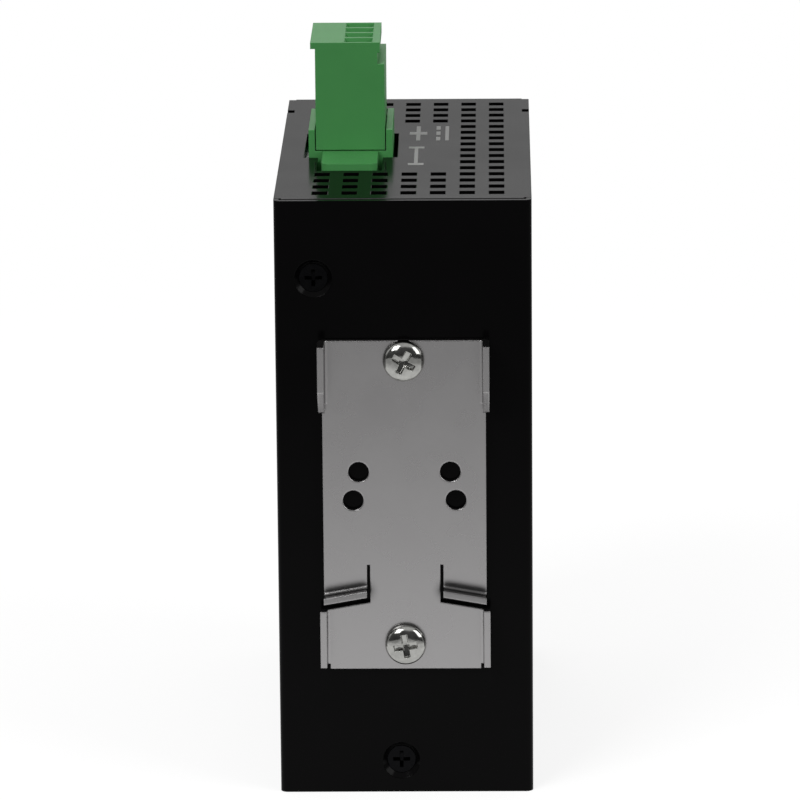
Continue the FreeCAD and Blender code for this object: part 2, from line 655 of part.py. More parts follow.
# ---- Board ----
def main_board():
    """Upright circuit board beside the plug, on four standoffs."""
    body = block(BOARD_FACE, BOARD_BACK, FRONT_Y + BOARD_FRONT_GAP, REAR_INSIDE - BOARD_REAR_GAP,
                 BOARD_EDGE, TOP - BOARD_EDGE)
    x0 = BOARD_FACE - BOARD_THICKNESS
    x1 = BOARD_BACK + BOARD_THICKNESS
    radius = BOARD_SCREW_RADIUS + HOLE_PLAY
    holes = [Part.makeCylinder(radius, x1 - x0, V(x0, y, z), V(1, 0, 0)) for _, y, z in MOUNT_POINTS]
    half = PIN_SIZE / 2 + FIT
    middle = pin_elbow() + PIN_SIZE / 2
    holes += [block(x0, x1, y - half, y + half, middle - half, middle + half) for y in POLE_YS]
    return body.cut(holes)


def port_lamps(z, side):
    """Lens of one lamp in a port's upper corner."""
    x0 = PORT_X0 + 3 * SHIELD
    z0 = z + side * (PORT_WIDTH / 2 - 3 * SHIELD - PORT_LAMP_WIDTH / 2) - PORT_LAMP_WIDTH / 2
    return block(x0, x0 + PORT_LAMP_HEIGHT, PORT_Y0, PORT_Y0 + PORT_LAMP_DEPTH, z0, z0 + PORT_LAMP_WIDTH)


def port_mouth(z):
    """Space that a plug goes into, with the steps that its latch hooks behind."""
    y0 = PORT_Y0 - SHIELD
    y1 = PORT_Y0 + MOUTH_DEPTH
    main = block(MOUTH_X0, MOUTH_X1, y0, y1, z - MOUTH_WIDTH / 2, z + MOUTH_WIDTH / 2)
    latch = block(MOUTH_X0 - LATCH_STEP, MOUTH_X0 + FIT, y0, y1, z - LATCH_WIDTH / 2, z + LATCH_WIDTH / 2)
    return main.fuse(latch)


def port_contacts(z):
    """Eight spring wires that start at the board and fold back into the mouth."""
    wires = []
    floor = MOUTH_X1 + MOUTH_FLOOR / 2
    tail = PORT_Y0 + MOUTH_DEPTH + 4 * SHIELD
    front = PORT_Y0 + MOUTH_DEPTH * CONTACT_FRONT
    for i in range(CONTACTS):
        z0 = z + (i - (CONTACTS - 1) / 2) * CONTACT_PITCH - CONTACT_WIDTH / 2
        path = [V(BOARD_FACE, tail, z0), V(floor, tail, z0), V(floor, front, z0),
                V(MOUTH_X1 - CONTACT_RISE, PORT_Y0 + MOUTH_DEPTH * CONTACT_TIP, z0)]
        other = offset_path(path, V(0, 0, 1), CONTACT_SHEET)
        wires.append(prism(path + other[::-1], V(0, 0, CONTACT_WIDTH)))
    return group(wires)


def port_shield(z):
    """Plated can around one port, open towards the board."""
    half = PORT_WIDTH / 2
    body = block(PORT_X0, BOARD_FACE, PORT_Y0, PORT_Y1, z - half, z + half)
    inside = block(PORT_X0 + SHIELD, BOARD_FACE + SHIELD, PORT_Y0 + SHIELD, PORT_Y1 - SHIELD,
                   z - half + SHIELD, z + half - SHIELD)
    return body.cut([inside, port_mouth(z), port_lamps(z, -1), port_lamps(z, 1)])


def port_insert(z):
    """Moulded block inside the can, with the mouth and the slots of the contacts."""
    half = PORT_WIDTH / 2 - SHIELD - FIT
    body = block(PORT_X0 + SHIELD + FIT, BOARD_FACE, PORT_Y0 + SHIELD + FIT, PORT_Y1 - SHIELD - FIT,
                 z - half, z + half)
    return body.cut([port_mouth(z), port_lamps(z, -1), port_lamps(z, 1)] + port_contacts(z).Solids)


# ---- Status lamps ----
def lamp_holder():
    """Block on the board that carries the three status lamps in line."""
    reach = LAMP_RADIUS + HOLDER_MARGIN
    y0 = FRONT_Y + SHEET + SEAM
    body = block(LAMP_XS[0] - reach, BOARD_FACE, y0, y0 + HOLDER_DEPTH, LAMP_Z - reach, LAMP_Z + reach)
    return body.cut([Part.makeCylinder(LAMP_RADIUS + FIT, HOLDER_DEPTH, V(x, y0 - SEAM, LAMP_Z), V(0, 1, 0))
                     for x in LAMP_XS])


def status_lamp(x):
    """Small round lamp in the front panel, with the rim of its end cut."""
    tip = FRONT_Y - PORT_PROUD
    length = HOLDER_DEPTH + SEAM
    profile = [(0, 0), (LAMP_RADIUS - LAMP_BEVEL, 0), (LAMP_RADIUS, LAMP_BEVEL), (LAMP_RADIUS, length),
               (0, length)]
    return turned(profile, V(x, tip, LAMP_Z), V(0, 1, 0))


# ---- Power header ----
def pin_elbow():
    """Height of the underside of the header pins' bend."""
    return HEADER_BASE - PIN_TAIL_DROP


def header_pins():
    """Four square pins, upright in the header and bent over into the board."""
    pins = []
    for y in POLE_YS:
        x1 = PLUG_MIDDLE - PIN_SIZE / 2
        y0 = y - PIN_SIZE / 2
        path = [V(x1, y0, TOP + HEADER_FLOOR + PIN_RISE), V(x1, y0, pin_elbow()),
                V(BOARD_BACK + PIN_SIZE / 2, y0, pin_elbow())]
        pins.append(folded(path, V(0, -1, 0), PIN_SIZE, BEND, V(0, PIN_SIZE, 0)))
    return group(pins)


def header_flange(y0, y1):
    """Low end of the header, with rounded upright corners."""
    x0 = PLUG_MIDDLE - FLANGE_WIDTH / 2
    body = block(x0, x0 + FLANGE_WIDTH, y0, y1, HEADER_BASE, TOP + HEADER_FLOOR)
    upright = [edge for edge in body.Edges if edge.BoundBox.ZLength > HEADER_DEPTH / 2]
    return body.makeFillet(FLANGE_CORNER, upright)


def power_header():
    """Fixed half of the power connector: floor, two side walls and a flange at each end."""
    body = block(HEADER_X0, HEADER_X1, PLUG_Y0, PLUG_Y1, HEADER_BASE, TOP + HEADER_RIM)
    trough = block(PLUG_X0 - PLUG_PLAY, PLUG_X1 + PLUG_PLAY, PLUG_Y0 - PLUG_PLAY, PLUG_Y1 + PLUG_PLAY,
                   TOP + HEADER_FLOOR, TOP + 2 * HEADER_RIM)
    body = body.cut(trough)
    overlap = 2 * FLANGE_CORNER
    body = body.fuse([header_flange(PLUG_Y0 - FLANGE_LENGTH, PLUG_Y0 + overlap),
                      header_flange(PLUG_Y1 - overlap, PLUG_Y1 + REAR_FLANGE_LENGTH)]).removeSplitter()
    hole = PIN_SIZE / 2 + FIT
    return body.cut([block(PLUG_MIDDLE - hole, PLUG_MIDDLE + hole, y - hole, y + hole,
                           HEADER_BASE - PIN_SIZE, TOP + HEADER_RIM) for y in POLE_YS])


# ---- Power plug ----
def plug_profile():
    """End outline of the plug: overhanging head on one side, groove and step on the other."""
    top = TOP + PLUG_TOP
    step = PLUG_X0 + FRONT_STEP
    head = PLUG_X1 + HEAD_OVERHANG
    points = [(PLUG_X1, PLUG_BOTTOM), (PLUG_X1, top - HEAD_THICKNESS), (head, top - HEAD_THICKNESS),
              (head, top), (step, top), (step, top - GROOVE_TOP),
              (step + GROOVE_DEPTH, top - GROOVE_TOP), (step + GROOVE_DEPTH, top - GROOVE_BOTTOM),
              (PLUG_X0, top - GROOVE_BOTTOM), (PLUG_X0, PLUG_BOTTOM)]
    return [V(x, PLUG_Y0, z) for x, z in points]


def wire_funnel(y):
    """Wire entry of one pole, flared at its mouth."""
    top = TOP + PLUG_TOP
    x0 = WIRE_X0
    x1 = WIRE_X0 + WIRE_WIDTH
    half = WIRE_LENGTH / 2
    shaft = block(x0, x1, y - half, y + half, CAGE_Z, top + FUNNEL)
    rings = []
    for spread, z in ((0, top - 2 * FUNNEL), (2 * FUNNEL, top + 2 * FUNNEL)):
        wide = half + spread / 2
        corners = [V(x0 - spread, y - wide, z), V(x1 + spread, y - wide, z),
                   V(x1 + spread, y + wide, z), V(x0 - spread, y + wide, z)]
        rings.append(Part.makePolygon(corners + corners[:1]))
    return shaft.fuse(Part.makeLoft(rings, True))


def plug_housing():
    """Moulded plug body with four poles, open for wires above and for pins below."""
    body = prism(plug_profile(), V(0, PLUG_LENGTH, 0))
    cuts = []
    half = CAGE_WIDTH / 2 + CAVITY_PLAY
    rise = CAGE_HEIGHT / 2 + CAVITY_PLAY
    x0, x1 = contact_span()
    leaf = contact_half() + CAVITY_PLAY
    for y in POLE_YS:
        cuts.append(wire_funnel(y))
        cuts.append(block(CAGE_X0 - CAVITY_PLAY, CAGE_X1 + CAVITY_PLAY, y - half, y + half,
                          CAGE_Z - rise, CAGE_Z + rise))
        cuts.append(block(x0 - CAVITY_PLAY, x1 + CAVITY_PLAY, y - leaf, y + leaf, PLUG_BOTTOM - FIT, CAGE_Z))
        cuts.append(Part.makeCylinder(TERMINAL_HEAD_RADIUS + CAVITY_PLAY, PLUG_X1 - CAGE_X1 + HEAD_OVERHANG,
                                      V(CAGE_X1, y, CAGE_Z), V(1, 0, 0)))
    return body.cut(cuts)


def plug_cages():
    """Four clamp cages, each an open frame with a thread in its thick side."""
    cages = []
    half = CAGE_WIDTH / 2
    rise = CAGE_HEIGHT / 2
    for y in POLE_YS:
        body = block(CAGE_X0, CAGE_X1, y - half, y + half, CAGE_Z - rise, CAGE_Z + rise)
        inner = half - CAGE_SIDE
        passage = block(CAGE_X0 + CAGE_FLOOR, CAGE_X1 - CAGE_ROOF, y - inner, y + inner,
                        CAGE_Z - CAGE_HEIGHT, CAGE_Z + CAGE_HEIGHT)
        thread = Part.makeCylinder(TERMINAL_SCREW_RADIUS + FIT, 2 * CAGE_ROOF,
                                   V(CAGE_X1 - CAGE_ROOF - FIT, y, CAGE_Z), V(1, 0, 0))
        cages.append(body.cut([passage, thread]))
    return group(cages)


def plug_screws():
    """Four slotted clamp screws, reached from the plug's side."""
    screws = []
    seat = PLUG_X1 - TERMINAL_HEAD_DEPTH - TERMINAL_HEAD_HEIGHT
    tip = contact_span()[0] + CONTACT_PLATE + FIT
    neck = seat - tip
    length = neck + TERMINAL_HEAD_HEIGHT
    profile = [(0, 0), (TERMINAL_SCREW_RADIUS, 0), (TERMINAL_SCREW_RADIUS, neck),
               (TERMINAL_HEAD_RADIUS, neck), (TERMINAL_HEAD_RADIUS, length), (0, length)]
    for y in POLE_YS:
        screw = turned(profile, V(tip, y, CAGE_Z), V(1, 0, 0))
        screws.append(screw.cut(block(seat + TERMINAL_HEAD_HEIGHT / 2, seat + 2 * TERMINAL_HEAD_HEIGHT,
                                      y - DRIVER_SLOT / 2, y + DRIVER_SLOT / 2,
                                      CAGE_Z - 2 * TERMINAL_HEAD_RADIUS, CAGE_Z + 2 * TERMINAL_HEAD_RADIUS)))
    return group(screws)


def contact_span():
    """X reach of a plug contact around its pin."""
    near = PLUG_MIDDLE - PIN_SIZE / 2 - LEAF_PLAY - CONTACT_PLATE
    return near, PLUG_MIDDLE + PIN_SIZE / 2 + LEAF


def contact_half():
    """Half of a plug contact's length along the row."""
    return PIN_SIZE / 2 + LEAF_PLAY + LEAF


def plug_contacts():
    """Four contacts: a tongue in the cage, and two leaves beside the header pin."""
    contacts = []
    x0, x1 = contact_span()
    half = contact_half()
    low = PLUG_BOTTOM + 2 * CAVITY_PLAY
    high = CAGE_Z - CAGE_HEIGHT / 2 - 2 * CAVITY_PLAY
    for y in POLE_YS:
        plate = block(x0, x0 + CONTACT_PLATE, y - half, y + half, low, CAGE_Z + CAGE_HEIGHT / 2)
        leaves = [block(x0, x1, edge, edge + LEAF, low, high) for edge in (y - half, y + half - LEAF)]
        contacts.append(plate.fuse(leaves).removeSplitter())
    return group(contacts)


# ---- Components on the board ----
def on_board(height, y0, y1, z0, z1):
    """Block standing on the board's component side."""
    return block(BOARD_FACE - height, BOARD_FACE, y0, y1, z0, z1)


def port_magnetics(z):
    """Isolation transformer module behind one port."""
    y0 = PORT_Y1 + MAGNETICS_GAP
    half = MAGNETICS_WIDTH / 2
    body = on_board(MAGNETICS_HEIGHT, y0, y0 + MAGNETICS_DEPTH, z - half, z + half)
    lid = [edge for edge in body.Edges if edge.BoundBox.XMax < BOARD_FACE - MAGNETICS_HEIGHT / 2]
    return body.makeChamfer(BEND, lid)


def power_place():
    """Rear lower corner of the power components' area."""
    return REAR_INSIDE - BOARD_REAR_GAP - 2 * CAN_RADIUS, BOTTOM_TAB + BOARD_HEAD_RADIUS


def chip_place():
    """Middle of the switch chip on the board, over the inductor."""
    y = PORT_Y1 + MAGNETICS_GAP + MAGNETICS_DEPTH + SINK_GAP + SINK_SIZE / 2
    return y, power_place()[1] + COIL_SIZE + SINK_LIFT + SINK_SIZE / 2


def switch_chip():
    """Switch controller under the heat sink."""
    y, z = chip_place()
    half = CHIP_SIZE / 2
    return on_board(CHIP_HEIGHT, y - half, y + half, z - half, z + half)


def heat_sink():
    """Extruded heat sink on the chip, with upright fins."""
    y, z = chip_place()
    half = SINK_SIZE / 2
    x1 = BOARD_FACE - CHIP_HEIGHT
    body = block(x1 - SINK_BASE, x1, y - half, y + half, z - half, z + half)
    gap = (SINK_SIZE - SINK_FIN) / (SINK_FINS - 1)
    fins = [block(x1 - SINK_HEIGHT, x1 - SINK_BASE, y - half + i * gap, y - half + i * gap + SINK_FIN,
                  z - half, z + half) for i in range(SINK_FINS)]
    return body.fuse(fins).removeSplitter()


def capacitor(i):
    """Electrolytic can with a rolled groove near its foot."""
    y, z = power_place()
    rise = CAN_GROOVE_RISE
    profile = [(0, 0), (CAN_RADIUS, 0), (CAN_RADIUS, rise), (CAN_RADIUS - CAN_GROOVE, rise + CAN_GROOVE),
               (CAN_RADIUS, rise + 2 * CAN_GROOVE), (CAN_RADIUS, CAN_HEIGHT), (0, CAN_HEIGHT)]
    return turned(profile, V(BOARD_FACE, y, z + CAN_RADIUS + i * CAN_PITCH), V(-1, 0, 0))


def power_inductor():
    """Shielded inductor of the supply, with its corners cut."""
    y, z = power_place()
    y0 = y - CAN_RADIUS - COIL_SIZE - SUPPLY_GAP
    body = on_board(COIL_HEIGHT, y0, y0 + COIL_SIZE, z, z + COIL_SIZE)
    corners = [edge for edge in body.Edges if edge.BoundBox.XLength > COIL_HEIGHT / 2]
    return body.makeChamfer(COIL_CORNER, corners)


def power_transformer():
    """Transformer of the isolated supply: a core with its winding between two legs."""
    size = TRANSFORMER_SIZE
    y0 = power_place()[0] - size / 2
    z0 = TOP - TOP_TAB - SUPPLY_GAP - size
    body = on_board(TRANSFORMER_HEIGHT, y0, y0 + size, z0, z0 + size)
    lid = BOARD_FACE - TRANSFORMER_HEIGHT
    floor = BOARD_FACE - BOARD_THICKNESS
    bays = [block(lid - BEND, floor, a, a + CORE_BAY, z0 + CORE_YOKE, z0 + size - CORE_YOKE)
            for a in (y0 + CORE_LEG, y0 + size - CORE_LEG - CORE_BAY)]
    return body.cut(bays)


def parts():
    """Every node's name and shape."""
    nodes = {"chassis": chassis(), "cover": cover(), "din_clip": din_clip(),
             "clip_screws": clip_screws(), "clip_nuts": clip_nuts(), "cover_screws": cover_screws(),
             "main_board": main_board(), "board_standoffs": board_standoffs(), "board_screws": board_screws(),
             "lamp_holder": lamp_holder(), "power_header": power_header(), "header_pins": header_pins(),
             "plug_housing": plug_housing(), "plug_cages": plug_cages(), "plug_screws": plug_screws(),
             "plug_contacts": plug_contacts(), "switch_chip": switch_chip(), "heat_sink": heat_sink(),
             "power_inductor": power_inductor(), "power_transformer": power_transformer()}
    for number, z in enumerate(reversed(PORT_CENTRES), 1):
        nodes[f"port_{number}_shield"] = port_shield(z)
        nodes[f"port_{number}_insert"] = port_insert(z)
        nodes[f"port_{number}_contacts"] = port_contacts(z)
        nodes[f"port_{number}_magnetics"] = port_magnetics(z)
        nodes[f"port_{number}_lamps"] = group([port_lamps(z, -1), port_lamps(z, 1)])
    for number, x in enumerate(LAMP_XS, 1):
        nodes[f"status_lamp_{number}"] = status_lamp(x)
    for number in range(CANS):
        nodes[f"capacitor_{number + 1}"] = capacitor(number)
    return nodes


os.makedirs("parts", exist_ok=True)
for name, shape in parts().items():
    shape.exportStep("parts/" + name + ".step")
    print(name, len(shape.Solids), "solids", round(shape.Volume, 1), "mm3", shape.isValid())
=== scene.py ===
# %% [markdown]
# # A switch for a top-hat rail, dressed for the studio
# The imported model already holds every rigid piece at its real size. This lesson gives each piece its
# finish: satin black paint on folded steel, a nickel-plated rail clip, bright cross-recess screws and green
# mouldings. It also adds what is too fine for the solids, such as printed marks and the rounded crowns of
# the screws. Lengths are in metres in Blender, so `MM` turns millimetres into scene units.

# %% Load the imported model
import json
import math
import bpy
import numpy as np
from mathutils import Matrix, Vector


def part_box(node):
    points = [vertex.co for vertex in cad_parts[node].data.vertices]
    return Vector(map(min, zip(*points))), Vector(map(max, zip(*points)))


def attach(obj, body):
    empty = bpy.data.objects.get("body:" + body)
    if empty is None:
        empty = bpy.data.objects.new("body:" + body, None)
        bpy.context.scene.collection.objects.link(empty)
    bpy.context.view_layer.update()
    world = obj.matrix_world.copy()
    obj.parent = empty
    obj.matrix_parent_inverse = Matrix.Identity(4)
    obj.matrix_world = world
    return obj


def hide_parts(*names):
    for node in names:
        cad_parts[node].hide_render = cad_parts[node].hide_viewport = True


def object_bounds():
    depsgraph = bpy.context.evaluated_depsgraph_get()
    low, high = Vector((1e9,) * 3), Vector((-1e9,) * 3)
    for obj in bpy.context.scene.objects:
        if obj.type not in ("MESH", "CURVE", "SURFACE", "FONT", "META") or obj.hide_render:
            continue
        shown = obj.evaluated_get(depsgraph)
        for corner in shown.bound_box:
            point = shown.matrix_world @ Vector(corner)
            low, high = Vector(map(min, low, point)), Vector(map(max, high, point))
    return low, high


MM = 0.001
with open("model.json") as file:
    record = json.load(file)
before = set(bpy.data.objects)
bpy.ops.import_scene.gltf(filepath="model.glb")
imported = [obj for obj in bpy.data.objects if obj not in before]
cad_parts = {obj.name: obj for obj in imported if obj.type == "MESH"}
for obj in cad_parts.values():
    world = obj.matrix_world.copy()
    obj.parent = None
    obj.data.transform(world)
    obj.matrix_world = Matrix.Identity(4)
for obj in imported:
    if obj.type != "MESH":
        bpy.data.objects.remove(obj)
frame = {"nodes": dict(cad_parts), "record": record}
cad_low, cad_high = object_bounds()
NODES = frame["nodes"]
BODY = {node: body for body, nodes in frame["record"]["behaviour"]["bodies"].items() for node in nodes}
print("nodes", len(NODES), "box in mm", [round((b - a) / MM, 2) for a, b in zip(cad_low, cad_high)])

# %% [markdown]
# ## Camera
# A long lens from nearly two metres would flatten the case completely. This one stands a little over a
# metre behind the switch, slightly above it, so the top shows as a narrow band over the tall rear face. The
# aim point is on the rear panel, and the small roll is how a hand-held camera leans.

# %% Camera behind the switch
VIEW_AZIMUTH = math.radians(179.04)
VIEW_ELEVATION = math.radians(14.32)
VIEW_ROLL = math.radians(-0.485)
VIEW_DISTANCE = 1.122
VIEW_LENS = 270.0
AIM_SHARE = 0.6682
AIM_ACROSS = 0.73

case_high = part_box("cover")[1]
ahead = Vector((math.sin(VIEW_AZIMUTH) * math.cos(VIEW_ELEVATION),
                math.cos(VIEW_AZIMUTH) * math.cos(VIEW_ELEVATION), -math.sin(VIEW_ELEVATION)))
aim = Vector((AIM_ACROSS * MM, case_high[1], AIM_SHARE * case_high[2]))
camera_data = bpy.data.cameras.new("studio_camera")
camera_data.lens = VIEW_LENS
camera = bpy.data.objects.new("studio_camera", camera_data)
bpy.context.scene.collection.objects.link(camera)
level = ahead.to_track_quat("-Z", "Y").to_matrix().to_4x4()
camera.matrix_world = (Matrix.Translation(aim - ahead * VIEW_DISTANCE) @ level
                       @ Matrix.Rotation(VIEW_ROLL, 4, "Z"))
bpy.context.scene.camera = camera
bpy.context.scene.view_settings.view_transform = "Standard"
print("camera at mm", [round(v / MM, 1) for v in camera.location])

# %% [markdown]
# ## Room, floor and lamps
# Gloss needs something to show. Camera rays see plain white, and gloss rays see a room that is white
# overhead and greyer along the horizon, so flat metal gets a soft gradient instead of one flat tone. A dark
# drape stands behind the camera, as it does in a real studio: curved metal needs something dark to show
# beside the white. The floor glows near white, and its diffuse share is what the contact shadow falls on.
# In gloss it fades with distance, as a studio sweep does away from its lamps, so an upright face is lighter
# at its foot.

# %% White room
HORIZON_GLOSS = 0.48
ZENITH_GLOSS = 0.95
DOME_RISE = 0.42
DRAPE_DEPTH = 0.86
DRAPE_SIDE = (0.05, 0.45)
DRAPE_TOP = (0.50, 0.85)
ROOM_LIGHT = 0.55


def eased(tree, value, low, high, start, end):
    """Smooth ramp of a value from start..end onto low..high."""
    ramp = tree.nodes.new("ShaderNodeMapRange")
    ramp.interpolation_type = "SMOOTHSTEP"
    ramp.inputs["From Min"].default_value = start
    ramp.inputs["From Max"].default_value = end
    ramp.inputs["To Min"].default_value = low
    ramp.inputs["To Max"].default_value = high
    tree.links.new(value, ramp.inputs["Value"])
    return ramp.outputs["Result"]


def combined(tree, operation, first, second):
    """Math node of two values, either of which may be a number or a socket."""
    node = tree.nodes.new("ShaderNodeMath")
    node.operation = operation
    for socket, value in zip(node.inputs, (first, second)):
        if isinstance(value, float):
            socket.default_value = value
        else:
            tree.links.new(value, socket)
    return node.outputs[0]


def white_room():
    """World: white to the camera, a grey-to-white dome to gloss, and an even light to everything else."""
    world = bpy.data.worlds.new("white_room")
    world.use_nodes = True
    tree = world.node_tree
    tree.nodes.clear()
    path = tree.nodes.new("ShaderNodeLightPath")
    place = tree.nodes.new("ShaderNodeTexCoord")
    split = tree.nodes.new("ShaderNodeSeparateXYZ")
    tree.links.new(place.outputs["Generated"], split.inputs[0])
    dome = tree.nodes.new("ShaderNodeMapRange")
    dome.inputs["From Min"].default_value = 0.0
    dome.inputs["From Max"].default_value = DOME_RISE
    dome.inputs["To Min"].default_value = HORIZON_GLOSS
    dome.inputs["To Max"].default_value = ZENITH_GLOSS
    tree.links.new(split.outputs["Z"], dome.inputs["Value"])
    behind = eased(tree, split.outputs["Y"], 0.0, 1.0, *DRAPE_SIDE)
    below = eased(tree, split.outputs["Z"], 1.0, 0.0, *DRAPE_TOP)
    drape = combined(tree, "MULTIPLY", behind, below)
    kept = eased(tree, drape, 1.0, 1.0 - DRAPE_DEPTH, 0.0, 1.0)
    tone = combined(tree, "MULTIPLY", dome.outputs["Result"], kept)
    even = tree.nodes.new("ShaderNodeBackground")
    even.inputs["Strength"].default_value = ROOM_LIGHT
    gloss = tree.nodes.new("ShaderNodeBackground")
    tree.links.new(tone, gloss.inputs["Strength"])
    white = tree.nodes.new("ShaderNodeBackground")
    either = combined(tree, "MAXIMUM", path.outputs["Is Glossy Ray"], path.outputs["Is Transmission Ray"])
    to_gloss = tree.nodes.new("ShaderNodeMixShader")
    tree.links.new(either, to_gloss.inputs["Fac"])
    tree.links.new(even.outputs[0], to_gloss.inputs[1])
    tree.links.new(gloss.outputs[0], to_gloss.inputs[2])
    to_white = tree.nodes.new("ShaderNodeMixShader")
    tree.links.new(path.outputs["Is Camera Ray"], to_white.inputs["Fac"])
    tree.links.new(to_gloss.outputs[0], to_white.inputs[1])
    tree.links.new(white.outputs[0], to_white.inputs[2])
    out = tree.nodes.new("ShaderNodeOutputWorld")
    tree.links.new(to_white.outputs[0], out.inputs["Surface"])
    return world


bpy.context.scene.world = white_room()
print("world", bpy.context.scene.world.name)

# %% Pale floor
FLOOR_HALF = 4.0
FLOOR_DROP = 0.05
FLOOR_GREY = 0.26
FLOOR_GLOW = 0.80
GLOSS_NEAR = 0.86
GLOSS_FAR = 0.50
SHADOW_FADE = (0.10, 0.42)


def pale_floor():
    """Flat floor a hair under the base: diffuse near the object for its shadow, plain white further out."""
    corners = np.array([(-1, -1, 0), (1, -1, 0), (1, 1, 0), (-1, 1, 0)], dtype=float) * FLOOR_HALF
    corners[:, 2] = cad_low[2] - FLOOR_DROP * MM
    mesh = bpy.data.meshes.new("pale_floor")
    mesh.from_pydata(corners.tolist(), [], [(0, 1, 2, 3)])
    floor = bpy.data.objects.new("pale_floor", mesh)
    bpy.context.scene.collection.objects.link(floor)
    material = bpy.data.materials.new("pale_floor")
    material.use_nodes = True
    tree = material.node_tree
    tree.nodes.clear()
    path = tree.nodes.new("ShaderNodeLightPath")
    shiny = combined(tree, "MAXIMUM", path.outputs["Is Glossy Ray"], path.outputs["Is Transmission Ray"])
    place = tree.nodes.new("ShaderNodeTexCoord")
    length = tree.nodes.new("ShaderNodeVectorMath")
    length.operation = "LENGTH"
    tree.links.new(place.outputs["Object"], length.inputs[0])
    far = tree.nodes.new("ShaderNodeMapRange")
    far.interpolation_type = "SMOOTHSTEP"
    far.inputs["From Min"].default_value, far.inputs["From Max"].default_value = SHADOW_FADE
    tree.links.new(length.outputs["Value"], far.inputs["Value"])
    shares = []
    for ray, near_glow, far_glow in ((path.outputs["Is Camera Ray"], FLOOR_GLOW, 1.0),
                                     (shiny, GLOSS_NEAR, GLOSS_FAR)):
        glow = tree.nodes.new("ShaderNodeMapRange")
        glow.inputs["To Min"].default_value = near_glow
        glow.inputs["To Max"].default_value = far_glow
        tree.links.new(far.outputs["Result"], glow.inputs["Value"])
        shares.append(combined(tree, "MULTIPLY", glow.outputs["Result"], ray))
    emission = tree.nodes.new("ShaderNodeEmission")
    tree.links.new(combined(tree, "ADD", *shares), emission.inputs["Strength"])
    grey = tree.nodes.new("ShaderNodeMapRange")
    grey.inputs["To Min"].default_value = FLOOR_GREY
    grey.inputs["To Max"].default_value = 0.0
    tree.links.new(far.outputs["Result"], grey.inputs["Value"])
    diffuse = tree.nodes.new("ShaderNodeBsdfDiffuse")
    tree.links.new(grey.outputs["Result"], diffuse.inputs["Color"])
    both = tree.nodes.new("ShaderNodeAddShader")
    tree.links.new(emission.outputs[0], both.inputs[0])
    tree.links.new(diffuse.outputs[0], both.inputs[1])
    out = tree.nodes.new("ShaderNodeOutputMaterial")
    tree.links.new(both.outputs[0], out.inputs["Surface"])
    mesh.materials.append(material)
    return floor


print("floor", pale_floor().name)

# %% Soft lamps
def soft_lamp(name, spot, size, watts):
    """Square lamp of that size at a place, aimed at the middle of the object."""
    light = bpy.data.lights.new(name, "AREA")
    light.shape = "SQUARE"
    light.size = size
    light.energy = watts
    lamp = bpy.data.objects.new(name, light)
    bpy.context.scene.collection.objects.link(lamp)
    lamp.location = spot
    middle = Vector((0, 0, (cad_low[2] + cad_high[2]) / 2))
    lamp.rotation_euler = (middle - lamp.location).to_track_quat("-Z", "Y").to_euler()
    return lamp


LAMPS = [("key_lamp", (0.7, 1.0, 1.1), 0.7, 11.0), ("fill_lamp", (-1.1, 0.6, 0.8), 0.8, 7.0),
         ("far_lamp", (0.2, -1.2, 0.9), 0.9, 3.0)]
for lamp in LAMPS:
    soft_lamp(*lamp)
print("lamps", len(LAMPS))

# %% [markdown]
# ## Building blocks for finishes
# Every finish starts from Blender's Principled shader and a noise read in the object's own coordinates, so
# the grain stays put when the plug moves. The Bevel node rounds an edge in the shading only: real sheet and
# mouldings have edges of a few tenths of a millimetre, and those catch the light.

# %% Helpers for node finishes
def blank_finish(name, metallic=0.0, specular=0.5):
    """Material with a Principled shader, and the place of each point on its object."""
    material = bpy.data.materials.new(name)
    material.use_nodes = True
    tree = material.node_tree
    shader = tree.nodes["Principled BSDF"]
    shader.inputs["Metallic"].default_value = metallic
    shader.inputs["Specular IOR Level"].default_value = specular
    place = tree.nodes.new("ShaderNodeTexCoord").outputs["Object"]
    return material, tree, shader, place


def mottle(tree, place, blob_mm, detail=2.0, stretch=(1.0, 1.0, 1.0)):
    """Noise from 0 to 1 whose blobs are about blob_mm across, drawn out along an axis by a small stretch."""
    scale = tree.nodes.new("ShaderNodeMapping")
    scale.inputs["Scale"].default_value = [1.0 / (blob_mm * MM) * s for s in stretch]
    tree.links.new(place, scale.inputs["Vector"])
    noise = tree.nodes.new("ShaderNodeTexNoise")
    noise.inputs["Scale"].default_value = 1.0
    noise.inputs["Detail"].default_value = detail
    tree.links.new(scale.outputs["Vector"], noise.inputs["Vector"])
    return noise.outputs["Fac"]


def between(tree, value, low, high, start=0.3, end=0.7):
    """Value taken from start..end onto low..high."""
    ramp = tree.nodes.new("ShaderNodeMapRange")
    ramp.inputs["From Min"].default_value = start
    ramp.inputs["From Max"].default_value = end
    ramp.inputs["To Min"].default_value = low
    ramp.inputs["To Max"].default_value = high
    tree.links.new(value, ramp.inputs["Value"])
    return ramp.outputs["Result"]


def two_tones(tree, value, first, second):
    """Colour that runs from first at 0 to second at 1."""
    mix = tree.nodes.new("ShaderNodeMix")
    mix.data_type = "RGBA"
    mix.inputs["A"].default_value = (*first, 1.0)
    mix.inputs["B"].default_value = (*second, 1.0)
    tree.links.new(value, mix.inputs["Factor"])
    return mix.outputs["Result"]


def toned(tree, shader, value, first, second):
    """Base colour that runs between two tones."""
    tree.links.new(two_tones(tree, value, first, second), shader.inputs["Base Color"])


def roughened(tree, shader, value, low, high):
    """Roughness that runs between two values."""
    tree.links.new(between(tree, value, low, high), shader.inputs["Roughness"])


